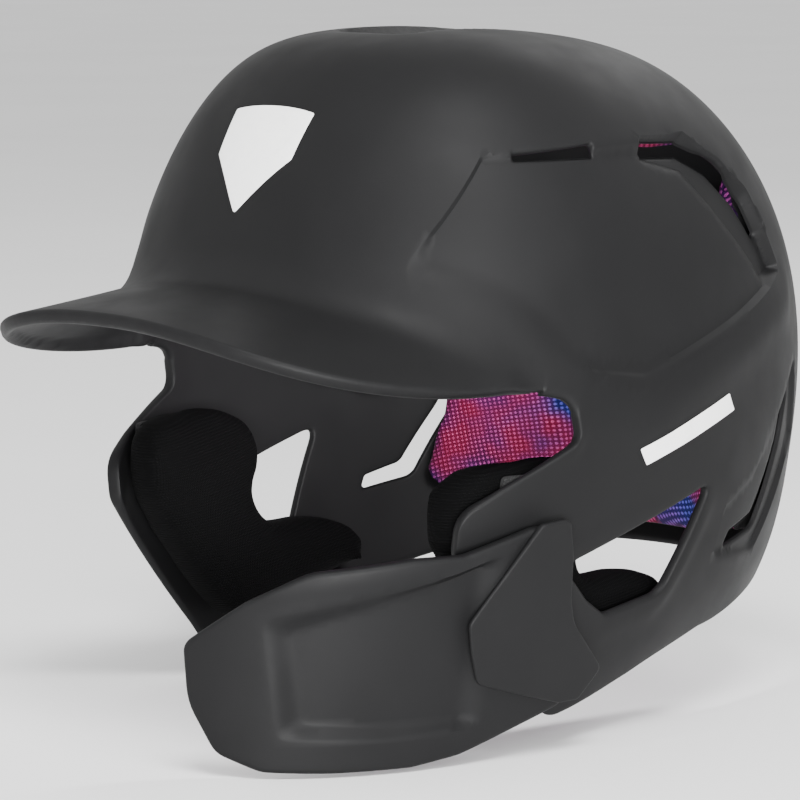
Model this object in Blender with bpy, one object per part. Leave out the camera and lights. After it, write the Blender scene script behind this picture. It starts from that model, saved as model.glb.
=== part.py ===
"""A batting helmet with two ear flaps, its padding, and a bolt-on jaw guard on the wearer's left.

All sizes are millimetres in the head frame: left (towards the wearer's left ear), ahead (towards
the brim) and up, from a point on the middle plane at the level of the widest line. The last step
of every shape turns them into metres: +X is left, -Y is ahead, +Z is up.
"""

import math

import bmesh
import bpy
import numpy as np
from mathutils import Vector
from mathutils.geometry import delaunay_2d_cdt

for old in list(bpy.data.objects):
    bpy.data.objects.remove(old, do_unlink=True)

# ---------------------------------------------------------------- driving dimensions (mm, degrees)
HALF_WIDTH = 99.5  # outside of the shell at its widest line
FRONT_RUN = 92.0  # middle to forehead, outside
BACK_RUN = 150.0  # middle to the back of the shell, outside
CROWN_RISE = 134.0  # widest line to the untilted crown
TILT = math.radians(12.4)  # the dome leans back by this much
PLAN_POWER = 2.18  # superellipse powers: 2 is an ellipse, more is boxier
SIDE_POWER = 2.43
CROWN_TOP = 124.0  # the crown is softly flattened at this height
CROWN_SOFTNESS = 9.0
CROWN_ARC = 190.0  # map distance from the crown to the widest line
FLAP_AHEAD = 22.0  # how much further ahead the plan reaches at ear-flap level
FLAP_TUCK = 0.0604  # how fast the flaps narrow below the widest line
FLAP_TUCK_START = 25.0
NAPE_TUCK = 0.38
NAPE_TUCK_POWER = 2.54

BRIM_AHEAD = 134.0  # middle to the brim's tip
BRIM_HALF_WIDTH = 94.2
BRIM_BACK = -19.0  # where the brim's plan curve would close
BRIM_POWER = 3.5
BRIM_TIP_UP = 37.3
BRIM_SIDE_UP = 13.0
BRIM_ARCH_POWER = 2.4
BRIM_ROOT_FRONT = 174.0  # map distance of the crease between the dome and the brim
BRIM_ROOT_DROP = 8.0  # and how much further down it is at the temple
BRIM_FILLET = 9.0
BRIM_FADE = 60.0  # from this turn (degrees) on, the brim fades into the temple
BRIM_END = 76.0

SHELL = 3.2  # wall of the moulded shell
GAP = 0.3  # air between pieces that touch
TAPE = 2.2  # hook-and-loop between the shell and a pad
SKIN_STEP = 14.0  # facet size on open stretches
EDGE_STEP = 7.0  # facet size along outlines

# The jaw guard, on a surface of its own that is drawn as (round from the middle plane, up).
GUARD_HALF_WIDTH = 101.3  # at GUARD_TOP_UP; it narrows downwards with the flap
GUARD_TUCK = 0.19
GUARD_TOP_UP = -26.0
GUARD_AHEAD = 131.0
GUARD_POWER = 2.6
GUARD = 4.2  # wall of the guard
GUARD_PLAN_WIDTH = 95.0  # where the plan curve is measured off
GUARD_OUTLINE = [  # (round, up, corner radius) on the guard's surface
    (32.5, -62, 5),
    (52.7, -48, 15),
    (72, -38.5, 20),
    (104, -35.3, 20),
    (121, -35.3, 10),
    (145, -29, 4),
    (156, -28.5, 4),
    (158.5, -52, 20),
    (162, -62, 12),
    (174, -76, 5),
    (167, -88, 8),
    (146, -94, 20),
    (128, -99.5, 20),
    (111, -104.6, 15),
    (85, -104.6, 20),
    (62, -101.3, 15),
    (46, -95.5, 10),
    (35, -80, 20),
]
COVER_OUTLINE = [
    (146, -26.8, 3),
    (157, -25.5, 4),
    (160.3, -38, 20),
    (161.5, -52, 20),
    (164, -60, 12),
    (170.6, -67, 15),
    (179.5, -76.5, 3),
    (171, -86, 3),
    (163, -86, 5),
    (130, -76.5, 5),
    (126, -65, 3),
    (124, -56.5, 4),
    (133, -44.5, 5),
]
COVER_BACK = GAP
COVER = 3.4
GUARD_PAD = 8.0
GUARD_PAD_OUTLINE = [(62, -52, 8), (112, -46, 8), (112, -90, 8), (62, -90, 8)]

# Fixings of the guard: (round, up) on the guard's surface, and the one axis they share.
SCREWS = {"upper": (152.0, -37.0), "front": (139.0, -61.0), "lower": (158.0, -73.0)}
SCREW_RADIUS = 2.0
HEAD_RADIUS = 4.3
HEAD = 2.2
HEAD_CHAMFER = 1.1
SOCKET_RADIUS = 1.5
WASHER = 0.8
WASHER_RADIUS = 5.0
SEAT_RADIUS = 5.3
SEAT_DEPTH = 2.2  # counterbore in the guard for the washer and part of the head
NUT_FLANGE_RADIUS = 6.5
NUT_FLANGE = 1.2
NUT_BARREL_RADIUS = 3.2
BORE_PLAY = 0.3
STACK_PLAY = 0.1  # between seat, washer and head
NUT_STAND_OFF = 1.0  # between the shell's inside and the nut's flange
CUT_CLEAR = 6.0  # how far a drilled hole's cutter runs past the surface
AXIS_AT = (150.0, -55.0)

# The shell's edge and openings, drawn in the side view as (ahead, up, corner radius).
NAPE_UP = -66.5
NAPE_RISE = 9.0  # the hem climbs this much from the flap to the nape
NOTCH_AND_FLAP = [  # side view (ahead, up, corner radius), from the temple round the flap
    (36, 11.8, 0),
    (24, 9.5, 12),
    (21.5, -3.5, 5),
    (48, -16.8, 30),
    (61, -24.5, 5),
    (61, -36, 6),
    (25, -85, 20),
    (19, -94.5, 9),
    (-20, -85.6, 30),
    (-52, -76.4, 0),
]
WINDOW = [(22, -43.5, 4), (-43.6, -23.3, 3), (-25.5, -58, 9), (0.5, -61.8, 5), (9.5, -56, 4)]
LIMB_SLOT = [
    (-98, 1, 2.5),
    (-92, -17, 20),
    (-75.5, -38.8, 6),
    (-61, -42.8, 2),
    (-58.5, -47.6, 2),
    (-79.5, -43.7, 8),
    (-97.5, -17, 20),
    (-104, -1, 2.5),
]
FRONT_VENT = [(28.5, 84.9, 0.5), (0.5, 87.4, 1), (0.5, 83.6, 1), (28.5, 83.3, 0.5)]
REAR_VENT = [
    (-24, 87.2, 1),
    (-48, 86.8, 1),
    (-66, 78.5, 5),
    (-80, 66.5, 8),
    (-87, 54, 1),
    (-84, 53, 1),
    (-76, 64.5, 8),
    (-62, 76, 5),
    (-46, 82.6, 2),
    (-24, 83.4, 1),
]

# Padding: the pads hang on hook-and-loop patches stuck to the inside of the shell.
TAPE_FRONT = -(SHELL + 0.7)
PAD_BACK = TAPE_FRONT - TAPE - 0.9
EAR_PAD = 17.0
EAR_PAD_OUTLINE = [
    (50, -9.5, 12),
    (14, -9, 14),
    (1, -14, 10),
    (1, -32, 9),
    (7, -41, 5),
    (-3, -52, 6),
    (-24, -54, 14),
    (-44, -62, 7),
    (-44, -72, 7),
    (0, -83, 20),
    (17, -86, 8),
    (28, -77, 15),
    (46, -57, 20),
    (62, -36, 12),
    (62, -19, 9),
]
EAR_TAPE_OUTLINE = [(46, -14, 2), (22, -14, 2), (22, -24, 2), (46, -30, 2)]
LINER = {  # turns from ahead (degrees), runs from the crown (mm), thickness
    "front": ((-40, 40), (96, 160), 14.0),
    "left_side": ((54, 119), (122, 186), 13.0),
    "right_side": ((-119, -54), (128, 192), 13.0),
    "rear": ((124, 236), (98, 226), 13.0),
}
CROWN_PAD = 12.0
PAD_EDGE = 0.4  # a liner pad is this much of its full thickness along its edge
PAD_SHOULDER = 16.0  # and full this far in
CROWN_OUTLINE = [(62, 66, 40), (-62, 66, 40), (-62, -80, 40), (62, -80, 40)]  # on the flat map
CROWN_TAPE_OUTLINE = [(20, 12, 3), (-20, 12, 3), (-20, -12, 3), (20, -12, 3)]
PATCH_TURN = 7  # half size of the other patches, in degrees round and in mm of run
PATCH_RUN = 12

# Generic marks: a home plate on the front (flat map) and a slanted bar on each side (side view).
MARK = 0.4
MARK_BACK = 0.5
PLATE_MARK = [(-22, 118, 1), (22, 118, 1), (22, 136, 1), (0, 156, 1), (-22, 136, 1)]
SIDE_MARK = [(-8, -13.8, 0.6), (-54, -0.8, 0.6), (-50, 5, 0.6), (-4, -8.2, 0.6)]

SLAB = 0.4  # side of the block that stands for the floor, in metres
FLOOR_DOWN = 102.4  # the floor lies this far under the widest line
MIDDLE_LEFT = 1.9  # centre of the helmet's box, in the head frame
MIDDLE_AHEAD = -8.9


# ---------------------------------------------------------------- the shell's outer surface
def power(value, exponent):
    return np.sign(value) * np.abs(value) ** exponent


def ease(t):
    t = np.clip(t, 0.0, 1.0)
    return t * t * (3.0 - 2.0 * t)


def dome(run, turn):
    """Outer surface without the brim, run mm from the crown, turned from ahead towards the left."""
    run, turn = np.broadcast_arrays(np.asarray(run, float), np.asarray(turn, float))
    lean = np.minimum(run / CROWN_ARC, 1.0) * math.pi / 2
    drop = np.maximum(run - CROWN_ARC, 0.0)
    ahead_part, left_part = np.cos(turn), np.sin(turn)
    flap = FLAP_TUCK * (np.sqrt(1.0 + (drop / FLAP_TUCK_START) ** 2) - 1.0)
    nape = NAPE_TUCK * (drop / 100.0) ** NAPE_TUCK_POWER
    at_back = ease((-ahead_part - 0.05) / 0.5)
    radius = np.sin(lean) ** (2 / SIDE_POWER) * (1.0 - flap * (1.0 - at_back) - nape * at_back)
    up = CROWN_RISE * np.cos(lean) ** (2 / SIDE_POWER) - drop
    front = FRONT_RUN + FLAP_AHEAD * ease((15.0 - up) / 40.0)
    reach = np.where(ahead_part > 0, front, BACK_RUN)
    left = HALF_WIDTH * radius * power(left_part, 2 / PLAN_POWER)
    ahead = reach * radius * power(ahead_part, 2 / PLAN_POWER)
    leant_ahead = ahead * math.cos(TILT) - up * math.sin(TILT)
    leant_up = ahead * math.sin(TILT) + up * math.cos(TILT)
    leant_up = CROWN_TOP - CROWN_SOFTNESS * np.logaddexp(0.0, (CROWN_TOP - leant_up) / CROWN_SOFTNESS)
    return np.stack([left, leant_ahead, leant_up], -1)


def brim_edge(corner):
    """The brim's rim straight out, in plan, from each point of the crease."""
    bearing = np.arctan2(np.abs(corner[..., 0]), corner[..., 1])
    sweep = np.linspace(0.0, math.pi / 2, 200)
    left = BRIM_HALF_WIDTH * power(np.sin(sweep), 2 / BRIM_POWER)
    ahead = BRIM_BACK + (BRIM_AHEAD - BRIM_BACK) * power(np.cos(sweep), 2 / BRIM_POWER)
    rim_left = np.interp(bearing, np.arctan2(left, ahead), left)
    rim_ahead = np.interp(bearing, np.arctan2(left, ahead), ahead)
    arch = 1.0 - (rim_left / BRIM_HALF_WIDTH) ** BRIM_ARCH_POWER
    up = BRIM_SIDE_UP + (BRIM_TIP_UP - BRIM_SIDE_UP) * arch
    return np.stack([np.sign(corner[..., 0]) * rim_left, rim_ahead, up], -1)


def brim_root(turn):
    return BRIM_ROOT_FRONT + BRIM_ROOT_DROP * np.minimum(np.abs(turn) / math.radians(60), 1.3) ** 1.5


def brim_width(turn):
    """Distance from the crease to the rim, which dies out at the temple."""
    corner = dome(brim_root(turn), turn)
    rim = brim_edge(corner)
    outwards = np.hypot(rim[..., 0], rim[..., 1]) > np.hypot(corner[..., 0], corner[..., 1])
    ahead_of_temple = np.abs(turn) < math.radians(BRIM_END)
    return np.where(outwards & ahead_of_temple, np.linalg.norm(rim - corner, axis=-1), 0.0)


def outside(x, y):
    """Outer surface of the shell over a flat map: x towards the left, y ahead, the crown at 0, 0."""
    x, y = np.broadcast_arrays(np.asarray(x, float), np.asarray(y, float))
    run, turn = np.hypot(x, y), np.arctan2(x, y)
    root, width = brim_root(turn), brim_width(turn)
    corner = dome(root, turn)
    rim = brim_edge(corner)
    slope = (rim - corner) / np.maximum(width, 1e-6)[..., None]
    fillet = np.minimum(BRIM_FILLET, width * 0.6 + 1e-6)
    start = dome(root - fillet, turn)
    t = np.clip((run - root + fillet) / (2 * fillet), 0.0, 1.0)[..., None]
    bend = (1 - t) ** 2 * start + 2 * t * (1 - t) * corner + t**2 * (corner + slope * fillet[..., None])
    flat = corner + slope * (run - root)[..., None]
    on_brim = (width > 1.5) & (run > root - fillet) & (run < root + width + 6.0)
    brim = np.where((run < root + fillet)[..., None], bend, flat)
    left_over = (math.radians(BRIM_END) - np.abs(turn)) / math.radians(BRIM_END - BRIM_FADE)
    share = (on_brim * ease(left_over))[..., None]
    return brim * share + dome(run, turn) * (1 - share)


def off(surface, x, y, out):
    """A point out mm off a surface, inwards when out is negative."""
    step = 0.4
    across = surface(x + step, y) - surface(x - step, y)
    along = surface(x, y + step) - surface(x, y - step)
    normal = np.cross(across, along)
    normal /= np.linalg.norm(normal, axis=-1, keepdims=True)
    return surface(x, y) + normal * np.asarray(out)[..., None]


def on_side(ahead, up):
    """Map place of the point of the left side that has this side view, by Newton's method."""
    place = np.array([190.0, 1.1 * ahead])
    for _ in range(40):
        here = dome(math.hypot(*place), math.atan2(*place))[1:]
        step = 0.05
        slopes = []
        for moved in (place + [step, 0], place + [0, step]):
            slopes.append((dome(math.hypot(*moved), math.atan2(*moved))[1:] - here) / step)
        change = np.linalg.solve(np.array(slopes).T, np.array([ahead, up]) - here)
        place = place + change * min(1.0, 25.0 / (np.linalg.norm(change) + 1e-9))
    return place


def at_height(turn, up):
    """Map place at this turn (radians) where the dome comes down to this height."""
    low, high = CROWN_ARC * 0.5, CROWN_ARC + 90.0
    for _ in range(40):
        middle = (low + high) / 2
        if dome(middle, turn)[2] > up:
            low = middle
        else:
            high = middle
    return np.array([low * math.sin(turn), low * math.cos(turn)])


# ---------------------------------------------------------------- the jaw guard's outer surface
sweeps = np.linspace(0.0, math.pi / 2, 400)
guard_plan = np.stack(
    [
        GUARD_PLAN_WIDTH * power(np.sin(sweeps), 2 / GUARD_POWER),
        GUARD_AHEAD * power(np.cos(sweeps), 2 / GUARD_POWER),
    ],
    -1,
)
guard_arc = np.concatenate([[0.0], np.cumsum(np.linalg.norm(np.diff(guard_plan, axis=0), axis=1))])


def guard_outside(x, y):
    """Outer surface of the guard: x runs round from the middle plane, y is up."""
    x, y = np.broadcast_arrays(np.asarray(x, float), np.asarray(y, float))
    sweep = np.interp(x, guard_arc, sweeps)
    half_width = GUARD_HALF_WIDTH + GUARD_TUCK * (y - GUARD_TOP_UP)
    left = half_width * power(np.sin(sweep), 2 / GUARD_POWER)
    ahead = GUARD_AHEAD * power(np.cos(sweep), 2 / GUARD_POWER) - np.maximum(x - guard_arc[-1], 0.0)
    return np.stack([left, ahead, y], -1)


def guard_off(x, y, out):
    return off(guard_outside, x, y, -np.asarray(out, float))


# ------- solids
def world(points):
    """Head frame in mm to the part's frame in metres."""
    points = np.asarray(points, float)
    left, ahead, up = points[..., 0], points[..., 1], points[..., 2]
    return np.stack([left - MIDDLE_LEFT, MIDDLE_AHEAD - ahead, up + FLOOR_DOWN], -1) * 0.001


def paint(name, colour, roughness, metallic=0.0):
    material = bpy.data.materials.new(name)
    material.use_nodes = True
    shader = material.node_tree.nodes["Principled BSDF"]
    shader.inputs["Base Color"].default_value = (*colour, 1.0)
    shader.inputs["Roughness"].default_value = roughness
    shader.inputs["Metallic"].default_value = metallic
    return material


def rounded(corners, step=EDGE_STEP):
    """A closed outline from (x, y, corner radius) triples, sampled about every step mm."""
    outline = []
    count = len(corners)
    for index in range(count):
        before, here, after = (np.array(corners[(index + k) % count][:2], float) for k in (-1, 0, 1))
        to_before, to_after = before - here, after - here
        reach_before, reach_after = np.linalg.norm(to_before), np.linalg.norm(to_after)
        cosine = to_before @ to_after / (reach_before * reach_after)
        half = math.acos(np.clip(cosine, -1.0, 1.0)) / 2
        trim = min(corners[index][2] / math.tan(half), 0.48 * reach_before, 0.48 * reach_after)
        first = here + to_before / reach_before * trim
        last = here + to_after / reach_after * trim
        pieces = max(2, math.ceil((math.pi - 2 * half) / math.radians(30)))
        for t in np.linspace(0.0, 1.0, pieces + 1):
            outline.append((1 - t) ** 2 * first + 2 * t * (1 - t) * here + t * t * last)
    return spaced(outline + outline[:1], step)[:-1]


def spaced(path, step):
    """The same path with points added so that none are further apart than step."""
    points = [np.asarray(path[0], float)]
    for start, end in zip(path[:-1], path[1:]):
        length = np.linalg.norm(np.subtract(end, start))
        if length < 0.05:
            continue
        pieces = max(1, math.ceil(length / step))
        for index in range(1, pieces + 1):
            points.append(start + (np.asarray(end) - start) * index / pieces)
    return points


def inside(points, loop):
    """Which of the points lie inside a closed outline."""
    within = np.zeros(len(points), bool)
    for (ax, ay), (bx, by) in zip(loop, np.roll(loop, -1, axis=0)):
        crosses = (ay > points[:, 1]) != (by > points[:, 1])
        at = ax + (points[:, 1] - ay) / (by - ay if by != ay else 1.0) * (bx - ax)
        within ^= crosses & (points[:, 0] < at)
    return within


def to_edges(points, loops):
    """Distance from each point to the nearest outline point."""
    rim = np.concatenate(loops)
    return np.linalg.norm(points[:, None] - rim[None], axis=2).min(1)


def sheet(name, material, place, loops, front, back, step=SKIN_STEP):
    """A closed solid between two offsets of a surface, within an outline and round its holes.

    An offset is one number, or a function of the outline's own (x, y) points.
    """
    loops = [np.array(loop) for loop in loops]
    low, high = loops[0].min(0), loops[0].max(0)
    grid = []
    for row, y in enumerate(np.arange(low[1], high[1], step * 0.87)):
        for x in np.arange(low[0] + (row % 2) * step / 2, high[0], step):
            grid.append((x, y))
    grid = np.array(grid)
    wanted = inside(grid, loops[0]) & (to_edges(grid, loops) > step * 0.6)
    for hole in loops[1:]:
        wanted &= ~inside(grid, hole)
    flat = np.concatenate(loops + [grid[wanted]])
    edges, first = [], 0
    for loop in loops:
        count = len(loop)
        edges += [(first + k, first + (k + 1) % count) for k in range(count)]
        first += count
    net = delaunay_2d_cdt([Vector(point) for point in flat], edges, [], 0, 1e-6)
    flat = np.array([tuple(point) for point in net[0]])
    faces = np.array([face for face in net[2] if len(face) == 3])
    middles = flat[faces].mean(1)
    kept = inside(middles, loops[0])
    for hole in loops[1:]:
        kept &= ~inside(middles, hole)
    faces = faces[kept]
    count = len(flat)
    outs = [out(flat) if callable(out) else out for out in (front, back)]
    points = np.concatenate([place(flat[:, 0], flat[:, 1], out) for out in outs])
    bm = bmesh.new()
    corners = [bm.verts.new(point) for point in world(points)]
    sides = {}
    for face in faces:
        bm.faces.new([corners[k] for k in face])
        bm.faces.new([corners[k + count] for k in face[::-1]])
        for a, b in zip(face, np.roll(face, -1)):
            if sides.pop((b, a), None) is None:
                sides[(a, b)] = True
    for a, b in sides:
        bm.faces.new([corners[b], corners[a], corners[a + count], corners[b + count]])
    loose = [corner for corner in corners if not corner.link_faces]
    bmesh.ops.delete(bm, geom=loose, context="VERTS")
    return finish(name, bm, material)


def finish(name, bm, material):
    bmesh.ops.triangulate(bm, faces=bm.faces)
    bmesh.ops.recalc_face_normals(bm, faces=bm.faces)
    mesh = bpy.data.meshes.new(name)
    bm.to_mesh(mesh)
    bm.free()
    mesh.materials.append(material)
    mesh.shade_smooth()
    mesh.set_sharp_from_angle(angle=math.radians(35))
    piece = bpy.data.objects.new(name, mesh)
    bpy.context.collection.objects.link(piece)
    return piece


def shell_off(x, y, out):
    return off(outside, x, y, out)


def side_outline(corners, step=EDGE_STEP):
    """A rounded outline drawn in the side view (ahead, up), moved to the left half of the map."""
    return [on_side(*point) for point in rounded(corners, step)]


def mirrored(loop):
    return [np.array([-x, y]) for x, y in reversed(list(map(tuple, loop)))]


# ---------------------------------------------------------------- shell
def hem_half():
    """The shell's edge on the wearer's left, from the brim's tip to the middle of the nape."""
    path = []
    for turn in np.radians(np.linspace(0.0, 64.0, 27)):
        run = float(brim_root(turn) + brim_width(turn))
        path.append(np.array([run * math.sin(turn), run * math.cos(turn)]))
    closed = rounded(NOTCH_AND_FLAP + [(-52, 60, 0), (36, 60, 0)], EDGE_STEP)
    sharp_end = min(range(len(closed)), key=lambda k: math.dist(closed[k], (-52, -76.4)))
    flap = [point for point in closed[: sharp_end + 1] if point[1] < 11.9]
    path += [on_side(*point) for point in flap]
    start = math.atan2(*path[-1])
    for turn in np.linspace(start, math.pi, 21)[1:]:
        rise = NAPE_RISE * float(ease((math.degrees(turn) - 118.0) / 26.0))
        path.append(at_height(turn, NAPE_UP - NAPE_RISE + rise))
    path[-1][0] = 0.0
    return path


def helmet_outline():
    half = hem_half()
    return spaced(half + mirrored(half)[1:], EDGE_STEP)[:-1]


charcoal = paint("matte_charcoal_plastic", (0.042, 0.042, 0.044), 0.5)

root_point = guard_off(*AXIS_AT, 0.0)
fixing_axis = guard_off(*AXIS_AT, 1.0) - root_point


def turned(name, material, centre, profile, turns=20):
    """A solid of revolution about the fixing axis: (radius, height) pairs, closed into a ring."""
    axis = Vector((fixing_axis[0], -fixing_axis[1], fixing_axis[2])).normalized()
    frame = axis.to_track_quat("Z", "Y").to_matrix()
    bm = bmesh.new()
    rings = []
    for radius, height in profile:
        if radius == 0.0:
            rings.append([bm.verts.new((0.0, 0.0, height * 0.001))])
            continue
        ring = []
        for k in range(turns):
            angle = 2 * math.pi * k / turns
            place = (radius * math.cos(angle), radius * math.sin(angle), height)
            ring.append(bm.verts.new([value * 0.001 for value in place]))
        rings.append(ring)
    closed = profile[0][0] > 0.0
    pairs = list(zip(rings, rings[1:] + rings[:1])) if closed else list(zip(rings, rings[1:]))
    for ring, other in pairs:
        for k in range(turns):
            quad = [ring[k % len(ring)], ring[(k + 1) % len(ring)]]
            quad += [other[(k + 1) % len(other)], other[k % len(other)]]
            bm.faces.new(list(dict.fromkeys(quad)))
    for corner in bm.verts:
        corner.co = frame @ corner.co
    piece = finish(name, bm, material)
    piece.location = world(centre)
    return piece


def cutter(name, centre, radius, low, high):
    rod = turned(name, charcoal, centre, [(0.0, low), (radius, low), (radius, high), (0.0, high)])
    rod.hide_render = True
    rod.display_type = "WIRE"
    return rod


def cut(piece, tool):
    modifier = piece.modifiers.new(tool.name, "BOOLEAN")
    modifier.operation = "DIFFERENCE"
    modifier.solver = "EXACT"
    modifier.object = tool


def floor_slab():
    """Everything under the floor, which trims the guard's foot flat."""
    bm = bmesh.new()
    bmesh.ops.create_cube(bm, size=SLAB)
    bmesh.ops.translate(bm, vec=(0.0, 0.0, -SLAB / 2), verts=bm.verts)
    slab = finish("floor_slab", bm, charcoal)
    slab.hide_render = True
    slab.display_type = "WIRE"
    return slab


def depth_along_axis(surface_gap, place):
    """Distance down the fixing axis from the guard's surface until surface_gap of it is zero."""
    start = guard_off(*place, 0.0)
    low, high = 0.0, 30.0
    for _ in range(40):
        middle = (low + high) / 2
        if surface_gap(start - fixing_axis * middle) > 0:
            low = middle
        else:
            high = middle
    return low


def above_shell(point):
    """How far a point of the left side lies outside the shell's outer surface, to the left."""
    return point[0] - dome_left(point[1], point[2])


def dome_left(ahead, up):
    x, y = on_side(ahead, up)
    return dome(math.hypot(x, y), math.atan2(x, y))[0]


left_holes = [side_outline(hole, 4.0) for hole in (WINDOW, LIMB_SLOT, FRONT_VENT, REAR_VENT)]
shell_loops = [helmet_outline()] + left_holes + [mirrored(hole) for hole in left_holes]
outer_shell = sheet("outer_shell", charcoal, shell_off, shell_loops, 0.0, -SHELL)

guard_loop = rounded(GUARD_OUTLINE, EDGE_STEP)
cover_loop = rounded(COVER_OUTLINE, EDGE_STEP)
jaw_guard = sheet("jaw_guard", charcoal, guard_off, [guard_loop], 0.0, -GUARD)
cut(jaw_guard, floor_slab())
cover_plate = sheet("cover_plate", charcoal, guard_off, [cover_loop], COVER_BACK + COVER, COVER_BACK)
steel = paint("zinc_plated_steel", (0.55, 0.56, 0.58), 0.35, 1.0)
black = paint("black_ribbed_mesh", (0.012, 0.012, 0.013), 0.9)
liner = paint("printed_liner_fabric", (0.03, 0.02, 0.09), 0.85)
tape = paint("black_hook_and_loop", (0.02, 0.02, 0.02), 0.95)
white = paint("white_vinyl", (0.9, 0.9, 0.9), 0.4)
foam = paint("grey_foam", (0.16, 0.16, 0.17), 0.9)

# Each fixing is a screw and a washer in the guard's seat, and a tee nut behind the shell.
clear = SCREW_RADIUS + BORE_PLAY
washer_low = -SEAT_DEPTH + STACK_PLAY
washer_high = washer_low + WASHER
head_low = washer_high + STACK_PLAY
head_high = head_low + HEAD
for where, place in SCREWS.items():
    seat = guard_off(*place, 0.0)
    wall = depth_along_axis(above_shell, place)
    nut_face = -wall - SHELL - NUT_STAND_OFF
    nut_back = nut_face - NUT_FLANGE
    nut_front = -wall - 2 * BORE_PLAY
    washer = [
        (clear, washer_low),
        (WASHER_RADIUS, washer_low),
        (WASHER_RADIUS, washer_high),
        (clear, washer_high),
    ]
    turned("washer_" + where, steel, seat, washer)
    screw = [
        (0.0, nut_back),
        (SCREW_RADIUS, nut_back),
        (SCREW_RADIUS, head_low),
        (HEAD_RADIUS, head_low),
        (HEAD_RADIUS, head_low + HEAD * 0.6),
        (HEAD_RADIUS - HEAD_CHAMFER, head_high),
        (SOCKET_RADIUS, head_high),
        (SOCKET_RADIUS, head_low + HEAD * 0.4),
        (0.0, head_low + HEAD * 0.4),
    ]
    turned("guard_screw_" + where, steel, seat, screw)
    nut = [
        (clear, nut_back),
        (NUT_FLANGE_RADIUS, nut_back),
        (NUT_FLANGE_RADIUS, nut_face),
        (NUT_BARREL_RADIUS, nut_face),
        (NUT_BARREL_RADIUS, nut_front),
        (clear, nut_front),
    ]
    turned("tee_nut_" + where, steel, seat, nut)
    nut_low, nut_high = -wall - 2 * CUT_CLEAR, -wall + GUARD
    cut(outer_shell, cutter("nut_way_" + where, seat, NUT_BARREL_RADIUS + BORE_PLAY, nut_low, nut_high))
    cut(jaw_guard, cutter("screw_way_" + where, seat, clear, -2 * CUT_CLEAR, CUT_CLEAR))
    cut(jaw_guard, cutter("seat_" + where, seat, SEAT_RADIUS, -SEAT_DEPTH, CUT_CLEAR))
    room = cutter("head_room_" + where, seat, HEAD_RADIUS + 2 * BORE_PLAY, -CUT_CLEAR, head_high + BORE_PLAY)
    cut(cover_plate, room)

# ---------------------------------------------------------------- padding


def straight_in(x, y, out):
    """A point on the pads' plane when out is PAD_BACK, and straight towards the middle from there."""
    point = shell_off(x, y, PAD_BACK)
    point[..., 0] -= np.sign(x) * (PAD_BACK - out)
    return point


def cushion(name, loop, thickness):
    """A liner pad with a full middle and shoulders that fall away to a thin edge."""

    def back(points):
        share = np.clip(to_edges(points, [np.array(loop)]) / PAD_SHOULDER, 0.0, 1.0)
        crown = np.sqrt(1.0 - (1.0 - share) ** 2)
        return PAD_BACK - thickness * (PAD_EDGE + (1.0 - PAD_EDGE) * crown)

    return sheet(name, liner, shell_off, [loop], PAD_BACK, back)


ear_loop = side_outline(EAR_PAD_OUTLINE)
ear_tape_loop = side_outline(EAR_TAPE_OUTLINE)
for side, flip in (("left", list), ("right", mirrored)):
    sheet(side + "_ear_pad", black, straight_in, [flip(ear_loop)], PAD_BACK, PAD_BACK - EAR_PAD)
    sheet(side + "_ear_tape", tape, shell_off, [flip(ear_tape_loop)], TAPE_FRONT, TAPE_FRONT - TAPE)


def fan(turns, runs, corner):
    """An outline between two turns (degrees) and two runs (mm) of the map, with round corners."""
    reach = CROWN_ARC * math.radians(1)
    box = [(turns[0], runs[0]), (turns[1], runs[0]), (turns[1], runs[1]), (turns[0], runs[1])]
    loop = []
    for x, run in rounded([(turn * reach, run, corner) for turn, run in box], EDGE_STEP * 1.3):
        turn = math.radians(x / reach)
        loop.append(np.array([run * math.sin(turn), run * math.cos(turn)]))
    return loop


for where, (turns, runs, thickness) in LINER.items():
    cushion(where + "_pad", fan(turns, runs, 14), thickness)
    middle_turn, middle_run = sum(turns) / 2, sum(runs) / 2
    patch_turns = (middle_turn - PATCH_TURN, middle_turn + PATCH_TURN)
    patch_runs = (middle_run - PATCH_RUN, middle_run + PATCH_RUN)
    patch = fan(patch_turns, patch_runs, 2)
    sheet(where + "_tape", tape, shell_off, [patch], TAPE_FRONT, TAPE_FRONT - TAPE)
crown_loop = rounded(CROWN_OUTLINE)
cushion("crown_pad", crown_loop, CROWN_PAD)
crown_tape_loop = rounded(CROWN_TAPE_OUTLINE)
sheet("crown_tape", tape, shell_off, [crown_tape_loop], TAPE_FRONT, TAPE_FRONT - TAPE)

guard_pad_loop = rounded(GUARD_PAD_OUTLINE)
sheet("jaw_guard_pad", foam, guard_off, [guard_pad_loop], -GUARD - GAP, -GUARD - GAP - GUARD_PAD)

# ---------------------------------------------------------------- generic marks
sheet("front_mark", white, shell_off, [rounded(PLATE_MARK)], MARK_BACK + MARK, MARK_BACK)
side_loop = side_outline(SIDE_MARK)
sheet("left_mark", white, shell_off, [side_loop], MARK_BACK + MARK, MARK_BACK)
sheet("right_mark", white, shell_off, [mirrored(side_loop)], MARK_BACK + MARK, MARK_BACK)
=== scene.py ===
"""Looks of the batting helmet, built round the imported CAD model.

Shapes are worked out in the head frame, in millimetres: left (towards the wearer's left ear), ahead
(towards the brim) and up, from a point on the middle plane at the level of the widest line. world()
turns them into the frame's metres. The shell is drawn on a flat map: x towards the left, y ahead,
with the crown at 0, 0.
"""

import math

import bmesh
import bpy
import numpy as np
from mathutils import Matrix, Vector, kdtree
from mathutils.geometry import delaunay_2d_cdt

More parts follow.
